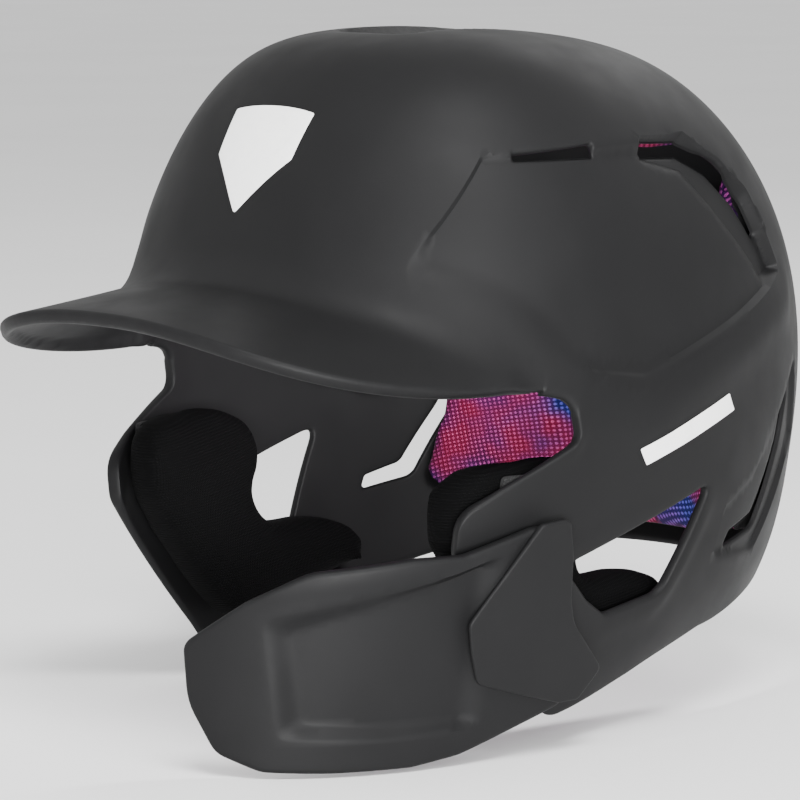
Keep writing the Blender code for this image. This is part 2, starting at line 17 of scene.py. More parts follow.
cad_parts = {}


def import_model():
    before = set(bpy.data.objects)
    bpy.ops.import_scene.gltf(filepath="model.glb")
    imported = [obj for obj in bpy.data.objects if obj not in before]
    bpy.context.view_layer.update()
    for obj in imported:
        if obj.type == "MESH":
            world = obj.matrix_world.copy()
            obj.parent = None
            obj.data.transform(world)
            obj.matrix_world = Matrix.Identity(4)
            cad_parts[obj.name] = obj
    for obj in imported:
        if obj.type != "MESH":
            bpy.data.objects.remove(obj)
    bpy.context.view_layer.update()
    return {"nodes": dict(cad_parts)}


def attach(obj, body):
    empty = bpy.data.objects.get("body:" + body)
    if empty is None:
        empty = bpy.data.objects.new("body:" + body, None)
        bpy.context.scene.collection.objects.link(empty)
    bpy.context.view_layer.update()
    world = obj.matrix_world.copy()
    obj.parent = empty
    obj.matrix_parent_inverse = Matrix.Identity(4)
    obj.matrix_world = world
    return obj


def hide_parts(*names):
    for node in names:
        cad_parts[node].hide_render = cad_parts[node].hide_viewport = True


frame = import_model()

# ---------------------------------------------------------------- the shell's dimensions (mm)
HALF_WIDTH = 99.5
FRONT_RUN = 92.0
BACK_RUN = 150.0
CROWN_RISE = 134.0
TILT = math.radians(12.4)
PLAN_POWER = 2.18
SIDE_POWER = 2.43
CROWN_TOP = 124.0
CROWN_SOFTNESS = 9.0
CROWN_ARC = 190.0
FLAP_AHEAD = 22.0
FLAP_TUCK = 0.0604
FLAP_TUCK_START = 25.0
NAPE_TUCK = 0.38
NAPE_TUCK_POWER = 2.54
BRIM_AHEAD = 134.0
BRIM_HALF_WIDTH = 94.2
BRIM_BACK = -19.0
BRIM_POWER = 3.5
BRIM_TIP_UP = 37.3
BRIM_SIDE_UP = 13.0
BRIM_ARCH_POWER = 2.4
BRIM_ROOT_FRONT = 174.0
BRIM_ROOT_DROP = 8.0
BRIM_FILLET = 9.0
BRIM_FADE = 60.0
BRIM_END = 76.0
SHELL = 3.2

GUARD_HALF_WIDTH = 101.3
GUARD_TUCK = 0.19
GUARD_TOP_UP = -26.0
GUARD_AHEAD = 131.0
GUARD_POWER = 2.6
GUARD_PLAN_WIDTH = 95.0
GUARD = 4.2
GAP = 0.3

FLOOR_DOWN = 102.4
MIDDLE_LEFT = 1.9
MIDDLE_AHEAD = -8.9

FINE = 2.6  # mesh size on open stretches of the shell
FINE_EDGE = 1.8  # and along its outlines
ROLL = 1.35  # radius of the moulded edges


# ---------------------------------------------------------------- surfaces
def power(value, exponent):
    return np.sign(value) * np.abs(value) ** exponent


def ease(t):
    t = np.clip(t, 0.0, 1.0)
    return t * t * (3.0 - 2.0 * t)


def dome(run, turn):
    """Outer surface without the brim, run mm from the crown, turned from ahead towards the left."""
    run, turn = np.broadcast_arrays(np.asarray(run, float), np.asarray(turn, float))
    lean = np.minimum(run / CROWN_ARC, 1.0) * math.pi / 2
    drop = np.maximum(run - CROWN_ARC, 0.0)
    ahead_part, left_part = np.cos(turn), np.sin(turn)
    flap = FLAP_TUCK * (np.sqrt(1.0 + (drop / FLAP_TUCK_START) ** 2) - 1.0)
    nape = NAPE_TUCK * (drop / 100.0) ** NAPE_TUCK_POWER
    at_back = ease((-ahead_part - 0.05) / 0.5)
    radius = np.sin(lean) ** (2 / SIDE_POWER) * (1.0 - flap * (1.0 - at_back) - nape * at_back)
    up = CROWN_RISE * np.cos(lean) ** (2 / SIDE_POWER) - drop
    front = FRONT_RUN + FLAP_AHEAD * ease((15.0 - up) / 40.0)
    reach = np.where(ahead_part > 0, front, BACK_RUN)
    left = HALF_WIDTH * radius * power(left_part, 2 / PLAN_POWER)
    ahead = reach * radius * power(ahead_part, 2 / PLAN_POWER)
    leant_ahead = ahead * math.cos(TILT) - up * math.sin(TILT)
    leant_up = ahead * math.sin(TILT) + up * math.cos(TILT)
    leant_up = CROWN_TOP - CROWN_SOFTNESS * np.logaddexp(0.0, (CROWN_TOP - leant_up) / CROWN_SOFTNESS)
    return np.stack([left, leant_ahead, leant_up], -1)


def brim_edge(corner):
    """The brim's rim straight out, in plan, from each point of the crease."""
    bearing = np.arctan2(np.abs(corner[..., 0]), corner[..., 1])
    sweep = np.linspace(0.0, math.pi / 2, 200)
    left = BRIM_HALF_WIDTH * power(np.sin(sweep), 2 / BRIM_POWER)
    ahead = BRIM_BACK + (BRIM_AHEAD - BRIM_BACK) * power(np.cos(sweep), 2 / BRIM_POWER)
    rim_left = np.interp(bearing, np.arctan2(left, ahead), left)
    rim_ahead = np.interp(bearing, np.arctan2(left, ahead), ahead)
    arch = 1.0 - (rim_left / BRIM_HALF_WIDTH) ** BRIM_ARCH_POWER
    up = BRIM_SIDE_UP + (BRIM_TIP_UP - BRIM_SIDE_UP) * arch
    return np.stack([np.sign(corner[..., 0]) * rim_left, rim_ahead, up], -1)


def brim_root(turn):
    return BRIM_ROOT_FRONT + BRIM_ROOT_DROP * np.minimum(np.abs(turn) / math.radians(60), 1.3) ** 1.5


def brim_width(turn):
    """Distance from the crease to the rim, which dies out at the temple."""
    corner = dome(brim_root(turn), turn)
    rim = brim_edge(corner)
    outwards = np.hypot(rim[..., 0], rim[..., 1]) > np.hypot(corner[..., 0], corner[..., 1])
    ahead_of_temple = np.abs(turn) < math.radians(BRIM_END)
    return np.where(outwards & ahead_of_temple, np.linalg.norm(rim - corner, axis=-1), 0.0)


def outside(x, y):
    """Outer surface of the shell, brim included, over the flat map."""
    x, y = np.broadcast_arrays(np.asarray(x, float), np.asarray(y, float))
    run, turn = np.hypot(x, y), np.arctan2(x, y)
    root, width = brim_root(turn), brim_width(turn)
    corner = dome(root, turn)
    rim = brim_edge(corner)
    slope = (rim - corner) / np.maximum(width, 1e-6)[..., None]
    fillet = np.minimum(BRIM_FILLET, width * 0.6 + 1e-6)
    start = dome(root - fillet, turn)
    t = np.clip((run - root + fillet) / (2 * fillet), 0.0, 1.0)[..., None]
    bend = (1 - t) ** 2 * start + 2 * t * (1 - t) * corner + t**2 * (corner + slope * fillet[..., None])
    flat = corner + slope * (run - root)[..., None]
    on_brim = ease((width - 0.5) / 6.0) * (run > root - fillet) * ease((root + width + 14.0 - run) / 8.0)
    brim = np.where((run < root + fillet)[..., None], bend, flat)
    left_over = (math.radians(BRIM_END) - np.abs(turn)) / math.radians(BRIM_END - BRIM_FADE)
    share = (on_brim * ease(left_over))[..., None]
    return brim * share + dome(run, turn) * (1 - share)


sweeps = np.linspace(0.0, math.pi / 2, 400)
guard_plan = np.stack(
    [
        GUARD_PLAN_WIDTH * power(np.sin(sweeps), 2 / GUARD_POWER),
        GUARD_AHEAD * power(np.cos(sweeps), 2 / GUARD_POWER),
    ],
    -1,
)
guard_arc = np.concatenate([[0.0], np.cumsum(np.linalg.norm(np.diff(guard_plan, axis=0), axis=1))])


def guard_outside(x, y):
    """Outer surface of the jaw guard: x runs round from the middle plane, y is up."""
    x, y = np.broadcast_arrays(np.asarray(x, float), np.asarray(y, float))
    sweep = np.interp(x, guard_arc, sweeps)
    half_width = GUARD_HALF_WIDTH + GUARD_TUCK * (y - GUARD_TOP_UP)
    left = half_width * power(np.sin(sweep), 2 / GUARD_POWER)
    ahead = GUARD_AHEAD * power(np.cos(sweep), 2 / GUARD_POWER) - np.maximum(x - guard_arc[-1], 0.0)
    return np.stack([left, ahead, y], -1)


def off(surface, x, y, out):
    """A point out mm off a surface, inwards when out is negative."""
    step = 0.4
    across = surface(x + step, y) - surface(x - step, y)
    along = surface(x, y + step) - surface(x, y - step)
    normal = np.cross(across, along)
    normal /= np.maximum(np.linalg.norm(normal, axis=-1, keepdims=True), 1e-9)
    return surface(x, y) + normal * np.asarray(out)[..., None]


def shell_off(x, y, out):
    return off(outside, x, y, out)


def guard_off(x, y, out):
    return off(guard_outside, x, y, -np.asarray(out, float))


def on_side(ahead, up):
    """Map place of the point of the left side that has this side view, by Newton's method."""
    place = np.array([190.0, 1.1 * ahead])
    for _ in range(40):
        here = dome(math.hypot(*place), math.atan2(*place))[1:]
        step = 0.05
        slopes = []
        for moved in (place + [step, 0], place + [0, step]):
            slopes.append((dome(math.hypot(*moved), math.atan2(*moved))[1:] - here) / step)
        change = np.linalg.solve(np.array(slopes).T, np.array([ahead, up]) - here)
        place = place + change * min(1.0, 25.0 / (np.linalg.norm(change) + 1e-9))
        if np.linalg.norm(change) < 1e-6:
            break
    return place


def at_height(turn, up):
    """Map place at this turn (radians) where the dome comes down to this height."""
    low, high = CROWN_ARC * 0.5, CROWN_ARC + 90.0
    for _ in range(40):
        middle = (low + high) / 2
        if dome(middle, turn)[2] > up:
            low = middle
        else:
            high = middle
    return np.array([low * math.sin(turn), low * math.cos(turn)])


def world(points):
    """Head frame in mm to the frame's metres."""
    points = np.asarray(points, float)
    left, ahead, up = points[..., 0], points[..., 1], points[..., 2]
    return np.stack([left - MIDDLE_LEFT, MIDDLE_AHEAD - ahead, up + FLOOR_DOWN], -1) * 0.001


def head(points):
    """The frame's metres to the head frame in mm."""
    points = np.asarray(points, float) * 1000.0
    return np.stack(
        [points[..., 0] + MIDDLE_LEFT, MIDDLE_AHEAD - points[..., 1], points[..., 2] - FLOOR_DOWN], -1
    )


# ---------------------------------------------------------------- outlines
def spaced(path, step):
    """The same path with points added so that none are further apart than step."""
    points = [np.asarray(path[0], float)]
    for start, end in zip(path[:-1], path[1:]):
        length = np.linalg.norm(np.subtract(end, start))
        if length < 0.05:
            continue
        pieces = max(1, math.ceil(length / step))
        for index in range(1, pieces + 1):
            points.append(start + (np.asarray(end) - start) * index / pieces)
    return points


def rounded(corners, step=FINE_EDGE):
    """A closed outline from (x, y, corner radius) triples, sampled about every step mm."""
    outline = []
    count = len(corners)
    for index in range(count):
        before, here, after = (np.array(corners[(index + k) % count][:2], float) for k in (-1, 0, 1))
        to_before, to_after = before - here, after - here
        reach_before, reach_after = np.linalg.norm(to_before), np.linalg.norm(to_after)
        cosine = to_before @ to_after / (reach_before * reach_after)
        half = math.acos(np.clip(cosine, -1.0, 1.0)) / 2
        trim = min(corners[index][2] / math.tan(half), 0.48 * reach_before, 0.48 * reach_after)
        first = here + to_before / reach_before * trim
        last = here + to_after / reach_after * trim
        pieces = max(3, math.ceil((math.pi - 2 * half) / math.radians(9)))
        for t in np.linspace(0.0, 1.0, pieces + 1):
            outline.append((1 - t) ** 2 * first + 2 * t * (1 - t) * here + t * t * last)
    return spaced(outline + outline[:1], step)[:-1]


def side_outline(corners, step=FINE_EDGE):
    return np.array([on_side(*point) for point in rounded(corners, step)])


def mirrored(loop):
    return np.array([[-x, y] for x, y in reversed(list(map(tuple, loop)))])


def inside(points, loop):
    within = np.zeros(len(points), bool)
    for (ax, ay), (bx, by) in zip(loop, np.roll(loop, -1, axis=0)):
        crosses = (ay > points[:, 1]) != (by > points[:, 1])
        at = ax + (points[:, 1] - ay) / (by - ay if by != ay else 1.0) * (bx - ax)
        within ^= crosses & (points[:, 0] < at)
    return within


def to_path(points, path, closed=True):
    """Distance from each point to the nearest stretch of a path."""
    path = np.asarray(path, float)
    ends = np.roll(path, -1, axis=0) if closed else path[1:]
    starts = path if closed else path[:-1]
    best = np.full(len(points), 1e9)
    for start, end in zip(starts, ends):
        along = end - start
        share = np.clip(((points - start) @ along) / max(along @ along, 1e-12), 0.0, 1.0)
        best = np.minimum(best, np.linalg.norm(points - start - share[:, None] * along, axis=1))
    return best


def depth(points, loop):
    """Distance inside a closed outline, negative outside."""
    return to_path(points, loop) * np.where(inside(points, loop), 1.0, -1.0)


def inset(loop, distance):
    """The outline moved inwards (to its left side when it runs anticlockwise), a ring of points."""
    loop = np.asarray(loop, float)
    along = np.roll(loop, -1, axis=0) - np.roll(loop, 1, axis=0)
    along /= np.maximum(np.linalg.norm(along, axis=1, keepdims=True), 1e-9)
    area = np.cross(loop, np.roll(loop, -1, axis=0)).sum()
    normal = np.stack([-along[:, 1], along[:, 0]], -1) * np.sign(area)
    return loop + normal * distance


def nearest_rim(points, loops):
    rim = np.concatenate([np.asarray(loop) for loop in loops])
    tree = kdtree.KDTree(len(rim))
    for index, (x, y) in enumerate(rim):
        tree.insert((x, y, 0.0), index)
    tree.balance()
    return np.array([tree.find((x, y, 0.0))[2] for x, y in points])


def finish(name, bm, material, sharp=42):
    bmesh.ops.triangulate(bm, faces=bm.faces)
    bmesh.ops.recalc_face_normals(bm, faces=bm.faces)
    mesh = bpy.data.meshes.new(name)
    bm.to_mesh(mesh)
    bm.free()
    mesh.materials.append(material)
    mesh.shade_smooth()
    mesh.set_sharp_from_angle(angle=math.radians(sharp))
    piece = bpy.data.objects.new(name, mesh)
    bpy.context.collection.objects.link(piece)
    return piece


def skin(name, material, place, loops, front, back, step=FINE, roll=ROLL, creases=()):
    """A closed moulding between two offsets of a surface, its edges rounded to the roll radius."""
    loops = [np.array(loop) for loop in loops]
    low, high = loops[0].min(0), loops[0].max(0)
    rows = np.arange(low[1], high[1], step * 0.87)
    grid = []
    for row, y in enumerate(rows):
        for x in np.arange(low[0] + (row % 2) * step / 2, high[0], step):
            grid.append((x, y))
    grid = np.array(grid)
    rings = []
    for share in (0.25, 0.7, 1.3):
        for index, loop in enumerate(loops):
            ring = inset(loop, share * roll * (1.0 if index == 0 else -1.0))
            rings.append(ring[nearest_rim(ring, loops) > share * roll * 0.8])
    lines = list(rings) + [np.asarray(crease) for crease in creases]
    lines = [line for line in lines if len(line)]
    extra = np.concatenate(lines)
    close = nearest_rim(grid, loops + lines)
    grid = grid[close > step * 0.55]
    free = np.concatenate([extra, grid])
    wanted = inside(free, loops[0])
    for hole in loops[1:]:
        wanted &= ~inside(free, hole)
    flat = np.concatenate(loops + [free[wanted]])
    edges, first = [], 0
    for loop in loops:
        count = len(loop)
        edges += [(first + k, first + (k + 1) % count) for k in range(count)]
        first += count
    net = delaunay_2d_cdt([Vector(point) for point in flat], edges, [], 0, 1e-4)
    flat = np.array([tuple(point) for point in net[0]])
    faces = np.array([face for face in net[2] if len(face) == 3])
    middles = flat[faces].mean(1)
    kept = inside(middles, loops[0])
    for hole in loops[1:]:
        kept &= ~inside(middles, hole)
    faces = faces[kept]
    count = len(flat)
    rim = np.full(count, 9.0)
    near = nearest_rim(flat, loops) < roll + 2 * FINE_EDGE
    for loop in loops:
        rim[near] = np.minimum(rim[near], to_path(flat[near], loop))
    t = np.clip(1.0 - rim / roll, 0.0, 1.0)
    drop = roll * (1.0 - np.sqrt(np.clip(1.0 - t * t, 0.0, 1.0)))
    outer = (front(flat) if callable(front) else np.full(count, front)) - drop
    inner = (back(flat) if callable(back) else np.full(count, back)) + drop
    points = np.concatenate([place(flat[:, 0], flat[:, 1], out) for out in (outer, inner)])
    bm = bmesh.new()
    corners = [bm.verts.new(point) for point in world(points)]
    sides = {}
    for face in faces:
        bm.faces.new([corners[k] for k in face])
        bm.faces.new([corners[k + count] for k in face[::-1]])
        for a, b in zip(face, np.roll(face, -1)):
            if sides.pop((b, a), None) is None:
                sides[(a, b)] = True
    for a, b in sides:
        bm.faces.new([corners[b], corners[a], corners[a + count], corners[b + count]])
    loose = [corner for corner in corners if not corner.link_faces]
    bmesh.ops.delete(bm, geom=loose, context="VERTS")
    return finish(name, bm, material)


# ---------------------------------------------------------------- materials
def new_material(name, colour, roughness, metallic=0.0):
    material = bpy.data.materials.new(name)
    material.use_nodes = True
    shader = material.node_tree.nodes["Principled BSDF"]
    shader.inputs["Base Color"].default_value = (*colour, 1.0)
    shader.inputs["Roughness"].default_value = roughness
    shader.inputs["Metallic"].default_value = metallic
    return material, material.node_tree, shader


def node(tree, kind, **settings):
    made = tree.nodes.new(kind)
    for key, value in settings.items():
        if key in made.inputs:
            made.inputs[key].default_value = value
        else:
            setattr(made, key, value)
    return made


def object_coords(tree):
    return node(tree, "ShaderNodeTexCoord").outputs["Object"]


def fabric_coords(tree):
    return node(tree, "ShaderNodeAttribute", attribute_name="fabric").outputs["Vector"]


def noise(tree, coords, scale, detail=3.0, roughness=0.5):
    made = node(tree, "ShaderNodeTexNoise", Scale=scale, Detail=detail, Roughness=roughness)
    tree.links.new(coords, made.inputs["Vector"])
    return made.outputs["Fac"]


def maths(tree, operation, a, b=0.0):
    made = node(tree, "ShaderNodeMath", operation=operation)
    for socket, value in zip(made.inputs, (a, b)):
        if isinstance(value, (int, float)):
            socket.default_value = value
        else:
            tree.links.new(value, socket)
    return made.outputs[0]


def span(tree, value, low, high, to_low, to_high):
    made = node(tree, "ShaderNodeMapRange")
    tree.links.new(value, made.inputs["Value"])
    for key, number in zip(("From Min", "From Max", "To Min", "To Max"), (low, high, to_low, to_high)):
        made.inputs[key].default_value = number
    return made.outputs["Result"]


def mix(tree, factor, a, b):
    made = node(tree, "ShaderNodeMix", data_type="RGBA")
    sockets = (made.inputs[0], made.inputs[6], made.inputs[7])
    for socket, value in zip(sockets, (factor, a, b)):
        if isinstance(value, tuple):
            socket.default_value = (*value, 1.0)
        elif isinstance(value, float):
            socket.default_value = value
        else:
            tree.links.new(value, socket)
    return made.outputs[2]


def bump(tree, shader, height, distance, strength=1.0, under=None):
    made = node(tree, "ShaderNodeBump", Strength=strength, Distance=distance)
    tree.links.new(height, made.inputs["Height"])
    if under is not None:
        tree.links.new(under, made.inputs["Normal"])
    tree.links.new(made.outputs["Normal"], shader.inputs["Normal"])
    return made.outputs["Normal"]


def worn(tree, low=0.52, high=0.62):
    """1 on sharp outer edges, 0 elsewhere."""
    geometry = node(tree, "ShaderNodeNewGeometry")
    return span(tree, geometry.outputs["Pointiness"], low, high, 0.0, 1.0)


def moulded(name, colour, roughness, grain=0.00006):
    """Matte moulded plastic: fine spark grain, faint mottling, edges rubbed a little smoother."""
    material, tree, shader = new_material(name, colour, roughness)
    coords = object_coords(tree)
    mottle = span(tree, noise(tree, coords, 14.0, 4.0), 0.35, 0.65, 0.0, 1.0)
    light = tuple(channel * 1.12 for channel in colour)
    dark = tuple(channel * 0.93 for channel in colour)
    rubbed = tuple(channel * 2.4 for channel in colour)
    base = mix(tree, mottle, dark, light)
    scuffs = span(tree, noise(tree, coords, 160.0, 5.0, 0.7), 0.45, 0.7, 0.0, 1.0)
    edge = maths(tree, "MULTIPLY", worn(tree), maths(tree, "MULTIPLY", scuffs, 0.6))
    tree.links.new(mix(tree, edge, base, rubbed), shader.inputs["Base Color"])
    uneven = span(tree, noise(tree, coords, 55.0, 3.0), 0.3, 0.7, roughness - 0.04, roughness + 0.05)
    smoother = maths(tree, "MULTIPLY", edge, 0.1)
    tree.links.new(maths(tree, "SUBTRACT", uneven, smoother), shader.inputs["Roughness"])
    shader.inputs["Specular IOR Level"].default_value = 0.09
    fine = noise(tree, coords, 2600.0, 2.0)
    waves = noise(tree, coords, 90.0, 2.0)
    first = bump(tree, shader, fine, grain, 0.35)
    bump(tree, shader, waves, 0.00035, 0.12, first)
    return material


def ribbed_mesh(name, colour, pitch=0.95):
    """Black spacer mesh with ribs across the pad, a fine knit between them and a painted highlight on
    its high spots.
    """
    material, tree, shader = new_material(name, colour, 0.9)
    parts = node(tree, "ShaderNodeSeparateXYZ")
    tree.links.new(fabric_coords(tree), parts.inputs[0])
    along, across = parts.outputs[0], parts.outputs[1]
    rib = maths(tree, "SINE", maths(tree, "MULTIPLY", across, 2 * math.pi / pitch))
    knit = maths(tree, "SINE", maths(tree, "MULTIPLY", along, 2 * math.pi / (pitch * 0.8)))
    weave = maths(tree, "MULTIPLY", maths(tree, "ADD", rib, 1.0), maths(tree, "ADD", knit, 1.6))
    fuzz = noise(tree, fabric_coords(tree), 2.5, 4.0)
    height = maths(tree, "ADD", maths(tree, "MULTIPLY", weave, 0.2), maths(tree, "MULTIPLY", fuzz, 0.35))
    # painted highlight: the rib crests are paler, more in some places than others
    lit = tuple(channel * 3.0 for channel in colour)
    crest_highlight = span(tree, weave, 1.2, 4.6, 0.0, 0.75)
    uneven_crest_highlight = maths(tree, "MULTIPLY", crest_highlight, span(tree, fuzz, 0.3, 0.7, 0.4, 1.0))
    tree.links.new(mix(tree, uneven_crest_highlight, colour, lit), shader.inputs["Base Color"])
    shader.inputs["Specular IOR Level"].default_value = 0.06
    bump(tree, shader, height, 0.00035, 0.7)
    return material


KNIT_PITCH = 5.2  # radians per mm


def printed_liner(name):
    """Knit printed with a halftone of pale dots over a ground that runs from crimson to blue."""
    material, tree, shader = new_material(name, (0.05, 0.02, 0.12), 0.8)
    coords = fabric_coords(tree)
    parts = node(tree, "ShaderNodeSeparateXYZ")
    tree.links.new(coords, parts.inputs[0])
    pitch = 2.35
    first = maths(tree, "SINE", maths(tree, "MULTIPLY", parts.outputs[0], 2 * math.pi / pitch))
    second = maths(tree, "SINE", maths(tree, "MULTIPLY", parts.outputs[1], 2 * math.pi / pitch))
    dots = span(tree, maths(tree, "MULTIPLY", first, second), 0.12, 0.5, 0.0, 1.0)
    cloud = span(tree, noise(tree, coords, 0.022, 3.0), 0.38, 0.62, 0.0, 1.0)
    stain = span(tree, noise(tree, coords, 0.05, 2.0), 0.4, 0.66, 0.0, 1.0)
    ground = mix(tree, cloud, (0.004, 0.006, 0.06), (0.026, 0.003, 0.042))
    ground = mix(tree, stain, ground, (0.10, 0.002, 0.02))
    dot = mix(tree, cloud, (0.07, 0.075, 0.36), (0.30, 0.05, 0.24))
    dot = mix(tree, stain, dot, (0.40, 0.05, 0.15))
    faded = span(tree, noise(tree, coords, 0.09, 2.0), 0.3, 0.7, 0.45, 0.95)
    strength = maths(tree, "MULTIPLY", dots, faded)
    tree.links.new(mix(tree, strength, ground, dot), shader.inputs["Base Color"])
    shader.inputs["Specular IOR Level"].default_value = 0.12
    rising = maths(tree, "ADD", parts.outputs[0], parts.outputs[1])
    falling = maths(tree, "SUBTRACT", parts.outputs[0], parts.outputs[1])
    knit = maths(tree, "SINE", maths(tree, "MULTIPLY", rising, KNIT_PITCH))
    knit_across = maths(tree, "SINE", maths(tree, "MULTIPLY", falling, KNIT_PITCH))
    weave = maths(tree, "MULTIPLY", maths(tree, "ADD", knit, knit_across), 0.3)
    bump(tree, shader, maths(tree, "ADD", weave, maths(tree, "MULTIPLY", dots, -0.5)), 0.0003, 0.8)
    return material


def fibrous(name, colour, scale, height, roughness=0.95):
    """Hook-and-loop tape or foam: close fibre or cells with uneven colour."""
    material, tree, shader = new_material(name, colour, roughness)
    coords = object_coords(tree)
    cells = node(tree, "ShaderNodeTexVoronoi", Scale=scale)
    tree.links.new(coords, cells.inputs["Vector"])
    lit = tuple(channel * 2.2 for channel in colour)
    patch = span(tree, cells.outputs["Distance"], 0.0, 0.9, 0.0, 1.0)
    tree.links.new(mix(tree, patch, lit, colour), shader.inputs["Base Color"])
    fibres = noise(tree, coords, scale * 2.2, 4.0)
    bump(tree, shader, maths(tree, "ADD", cells.outputs["Distance"], fibres), height, 0.7)
    return material


def zinc(name):
    """Zinc-plated steel, with a faint turned grain and dull patches."""
    material, tree, shader = new_material(name, (0.5, 0.51, 0.53), 0.35, 1.0)
    coords = object_coords(tree)
    blotch = span(tree, noise(tree, coords, 400.0, 4.0), 0.3, 0.7, 0.0, 1.0)
    tree.links.new(mix(tree, blotch, (0.42, 0.43, 0.46), (0.62, 0.62, 0.6)), shader.inputs["Base Color"])
    tree.links.new(span(tree, blotch, 0.0, 1.0, 0.28, 0.45), shader.inputs["Roughness"])
    bump(tree, shader, noise(tree, coords, 3000.0, 3.0), 0.00004, 0.5)
    return material


def vinyl(name):
    """White decal: slight orange peel, greyed a little in random patches."""
    material, tree, shader = new_material(name, (0.87, 0.87, 0.86), 0.4)
    coords = object_coords(tree)
    dirt = span(tree, noise(tree, coords, 220.0, 5.0, 0.65), 0.5, 0.75, 0.0, 0.35)
    tree.links.new(mix(tree, dirt, (0.88, 0.88, 0.87), (0.70, 0.70, 0.69)), shader.inputs["Base Color"])
    bump(tree, shader, noise(tree, coords, 900.0, 2.0), 0.00005, 0.4)
    return material


charcoal = moulded("matte_charcoal_plastic", (0.0068, 0.0068, 0.0071), 0.5)
guard_plastic = moulded("guard_charcoal_plastic", (0.0064, 0.0064, 0.0067), 0.5)
ear_mesh = ribbed_mesh("black_ribbed_mesh", (0.0008, 0.0008, 0.0009))
liner = printed_liner("printed_liner_fabric")
backing = fibrous("pad_backing_foam", (0.004, 0.004, 0.0045), 1300.0, 0.0002, 0.95)
hook_and_loop = fibrous("black_hook_and_loop", (0.0022, 0.0022, 0.0024), 1100.0, 0.0006)
guard_foam = fibrous("grey_foam", (0.10, 0.10, 0.105), 900.0, 0.00025)
steel = zinc("zinc_plated_steel")
white = vinyl("white_vinyl")

# ---------------------------------------------------------------- shell outline and relief
NAPE_UP = -66.5
NAPE_RISE = 9.0
NOTCH_AND_FLAP = [
    (36, 11.8, 0),
    (24, 9.5, 12),
    (21.5, -3.5, 5),
    (48, -16.8, 30),
    (61, -24.5, 13),
    (61, -38, 8),
    (25, -85, 20),
    (19, -94.5, 9),
    (-20, -85.6, 30),
    (-52, -76.4, 0),
]
WINDOW = [(22, -43.5, 4), (-43.6, -23.3, 3), (-25.5, -58, 9), (0.5, -61.8, 5), (9.5, -56, 4)]
LIMB_SLOT = [
    (-98, 1, 2.5),
    (-92, -17, 20),
    (-75.5, -38.8, 6),
    (-61, -42.8, 2),
    (-58.5, -47.6, 2),
    (-79.5, -43.7, 8),
    (-97.5, -17, 20),
    (-104, -1, 2.5),
]
FRONT_VENT = [(28.5, 84.9, 0.5), (0.5, 87.4, 1), (0.5, 83.6, 1), (28.5, 83.3, 0.5)]
REAR_VENT = [
    (-24, 87.2, 1),
    (-48, 86.8, 1),
    (-66, 78.5, 5),
    (-80, 66.5, 8),
    (-87, 54, 1),
    (-84, 53, 1),
    (-76, 64.5, 8),
    (-62, 76, 5),
    (-46, 82.6, 2),
    (-24, 83.4, 1),
]
# The side panel is sunk into the dome; its rear upper edge drops into a scoop.
PANEL = [
    (68, 46, 14),
    (37, 84.5, 3),
    (-49, 88.8, 2),
    (-81, 69, 10),
    (-95, 41, 3),
    (-84, 36, 3),
    (-59, 28, 25),
    (-8, 13.5, 16),
    (14, 16.5, 18),
    (48, 28, 30),
]
SCOOP = [
    (-22, 88.5, 2),
    (-49, 88.8, 2),
    (-81, 69, 10),
    (-95, 41, 2),
    (-83, 38, 2),
    (-44, 77, 3),
    (-22, 82, 2),
]
REAR_FACET = [
    (-108, 12, 3),
    (-92, -4, 8),
    (-72, -24, 10),
    (-53, -33, 4),
    (-50, -50, 4),
    (-80, -52, 8),
    (-112, -16, 4),
]


def hem_half():
    """The shell's edge on the wearer's left, from the brim's tip to the middle of the nape."""
    path = []
    for turn in np.radians(np.linspace(0.0, 64.0, 53)):
        run = float(brim_root(turn) + brim_width(turn))
        path.append(np.array([run * math.sin(turn), run * math.cos(turn)]))
    closed = rounded(NOTCH_AND_FLAP + [(-52, 60, 0), (36, 60, 0)])
    sharp_end = min(range(len(closed)), key=lambda k: math.dist(closed[k], (-52, -76.4)))
    flap = [point for point in closed[: sharp_end + 1] if point[1] < 11.9]
    path += [on_side(*point) for point in flap]
    start = math.atan2(*path[-1])
    for turn in np.linspace(start, math.pi, 41)[1:]:
        rise = NAPE_RISE * float(ease((math.degrees(turn) - 118.0) / 26.0))
        path.append(at_height(turn, NAPE_UP - NAPE_RISE + rise))
    path[-1][0] = 0.0
    return path


half_hem = hem_half()
hem = np.array(spaced(half_hem + list(mirrored(half_hem))[1:], FINE_EDGE)[:-1])
# The moulding runs smoothly from the brim's rim into the notch, on both sides.
TEMPLE_TURN = 64.0
hem_turns = np.abs(np.degrees(np.arctan2(hem[:, 0], hem[:, 1])))
hem_runs = np.hypot(hem[:, 0], hem[:, 1])
at_temple = ease(1.0 - np.abs(hem_turns - TEMPLE_TURN) / 12.0) * (hem_runs < 215.0)
for _ in range(12):
    between = (np.roll(hem, 1, axis=0) + np.roll(hem, -1, axis=0)) / 2
    hem += (between - hem) * 0.6 * at_temple[:, None]
panel = side_outline(PANEL)
scoop = side_outline(SCOOP)
rear_facet = side_outline(REAR_FACET)
window = side_outline(WINDOW)
TROUGH = rounded([(17, 56, 10), (-17, 56, 10), (-13, -34, 10), (13, -34, 10)])


